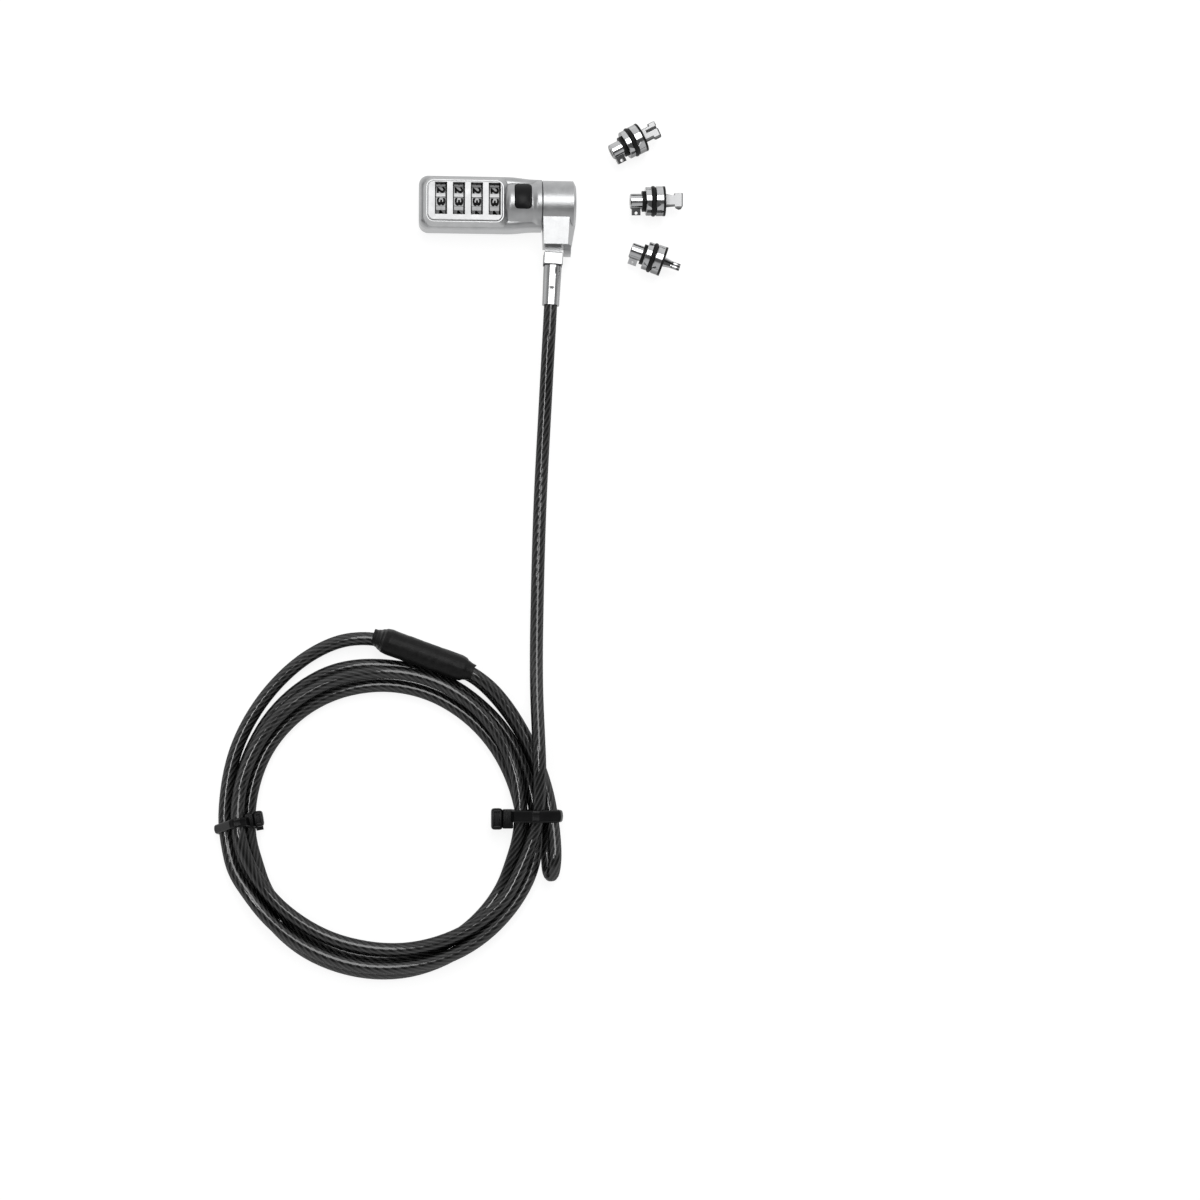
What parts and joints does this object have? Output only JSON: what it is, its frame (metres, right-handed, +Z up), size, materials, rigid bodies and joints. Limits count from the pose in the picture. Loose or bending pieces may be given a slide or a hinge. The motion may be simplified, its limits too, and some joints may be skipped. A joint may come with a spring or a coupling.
{
  "type": "laptop cable lock",
  "caption": "Combination laptop cable lock with swivelling collar, coiled steel cable with crimped end loop, cable ties and interchangeable locking tips.",
  "frame": {"origin": "on the table under the lock axis, at the base plate's rest face", "axes": "+X along the lock axis to the tip socket, +Y away from the cable, +Z up"},
  "size_m": [0.1583, 0.2936, 0.0167],
  "materials": {
    "satin_nickel": "satin nickel plate on zinc casting",
    "bright_plate": "bright satin plate",
    "dial_metal": "satin, numbers filled black",
    "brass": "machined",
    "steel": "machined",
    "chrome": "polished",
    "black_plastic": "semi-gloss",
    "cable_jacket": "glossy smoke-black jacket over steel strands",
    "heat_shrink": "satin",
    "black_nylon": "satin",
    "black_rubber": "matte"
  },
  "bodies": {
    "cable": {"cable_run": "cable_jacket", "cable_coil": "cable_jacket", "cable_tail": "cable_jacket", "cable_loop": "cable_jacket", "crimp_sleeve": "steel", "heat_shrink": "heat_shrink", "cable_tie_left": "black_nylon", "cable_tie_right": "black_nylon", "ferrule": "satin_nickel", "hinge_pin": "steel"},
    "collar": {"collar_arm": "satin_nickel"},
    "lock_body": {"upper_housing": "satin_nickel", "base_plate": "satin_nickel", "base_screws": "steel", "dial_plate": "bright_plate", "detent_comb": "steel", "socket_barrel": "chrome", "retaining_ring": "steel", "button_springs": "steel"},
    "button": {"release_button": "black_plastic"},
    "spindle_rod": {"spindle": "steel", "cam_pin": "steel"},
    "dial_1_wheel": {"dial_1": "dial_metal", "code_ring_1": "brass"},
    "dial_2_wheel": {"dial_2": "dial_metal", "code_ring_2": "brass"},
    "dial_3_wheel": {"dial_3": "dial_metal", "code_ring_3": "brass"},
    "dial_4_wheel": {"dial_4": "dial_metal", "code_ring_4": "brass"},
    "tip_t_bar": {"tip_t_bar_body": "chrome", "tip_t_bar_o_ring": "black_rubber", "tip_t_bar_gasket": "black_rubber", "tip_t_bar_washer": "black_rubber", "tip_t_bar_hook": "chrome"},
    "tip_t_bar_slider": {"tip_t_bar_leaf": "chrome"},
    "tip_slim": {"tip_slim_body": "chrome", "tip_slim_o_ring": "black_rubber", "tip_slim_gasket": "black_rubber", "tip_slim_washer": "black_rubber", "tip_slim_hook": "chrome"},
    "tip_slim_slider": {"tip_slim_leaf": "chrome"},
    "tip_wedge": {"tip_wedge_body": "chrome", "tip_wedge_o_ring": "black_rubber", "tip_wedge_gasket": "black_rubber", "tip_wedge_washer": "black_rubber", "tip_wedge_hook": "chrome"},
    "tip_wedge_slider": {"tip_wedge_leaf": "chrome"}
  },
  "joints": [
    {"name": "cable_pivot", "type": "hinge", "parent": "cable", "child": "collar", "pos_m": [0.0234, -0.0183, 0.0084], "axis": [0, 0, 1], "range_deg": [-4, 80]},
    {"name": "collar_swivel", "type": "hinge", "parent": "collar", "child": "lock_body", "pos_m": [0.0258, 0, 0.0084], "axis": [1, 0, 0], "continuous": true},
    {"name": "dial_1_spin", "type": "hinge", "parent": "lock_body", "child": "dial_1_wheel", "pos_m": [-0.0149, 0, 0.0084], "axis": [1, 0, 0], "continuous": true},
    {"name": "dial_2_spin", "type": "hinge", "parent": "lock_body", "child": "dial_2_wheel", "pos_m": [-0.00885, 0, 0.0084], "axis": [1, 0, 0], "continuous": true},
    {"name": "dial_3_spin", "type": "hinge", "parent": "lock_body", "child": "dial_3_wheel", "pos_m": [-0.0028, 0, 0.0084], "axis": [1, 0, 0], "continuous": true},
    {"name": "dial_4_spin", "type": "hinge", "parent": "lock_body", "child": "dial_4_wheel", "pos_m": [0.00325, 0, 0.0084], "axis": [1, 0, 0], "continuous": true},
    {"name": "button_press", "type": "slide", "parent": "lock_body", "child": "button", "axis": [0, 0, -1], "range_m": [0, 0.0012], "stiffness_N_per_m": 900, "springref_m": -0.0008, "deforming": ["button_springs"]},
    {"name": "spindle_slide", "type": "slide", "parent": "lock_body", "child": "spindle_rod", "axis": [1, 0, 0], "range_m": [0, 0.0012]},
    {"name": "tip_t_bar_lift", "type": "slide", "parent": "cable", "child": "tip_t_bar", "axis": [0, 0, 1], "range_m": [0, 0.03]},
    {"name": "tip_t_bar_leaf_slide", "type": "slide", "parent": "tip_t_bar", "child": "tip_t_bar_slider", "axis": [0.8821, 0.471, 0], "range_m": [-0.0012, 0]},
    {"name": "tip_slim_lift", "type": "slide", "parent": "cable", "child": "tip_slim", "axis": [0, 0, 1], "range_m": [0, 0.03]},
    {"name": "tip_slim_leaf_slide", "type": "slide", "parent": "tip_slim", "child": "tip_slim_slider", "axis": [0.9997, 0.0262, 0], "range_m": [-0.0012, 0]},
    {"name": "tip_wedge_lift", "type": "slide", "parent": "cable", "child": "tip_wedge", "axis": [0, 0, 1], "range_m": [0, 0.03]},
    {"name": "tip_wedge_leaf_slide", "type": "slide", "parent": "tip_wedge", "child": "tip_wedge_slider", "axis": [0.9438, -0.3305, 0], "range_m": [-0.0012, 0]}
  ],
  "couplings": [
    {"joint": "spindle_slide", "follows": "button_press", "ratio": 1}
  ]
}
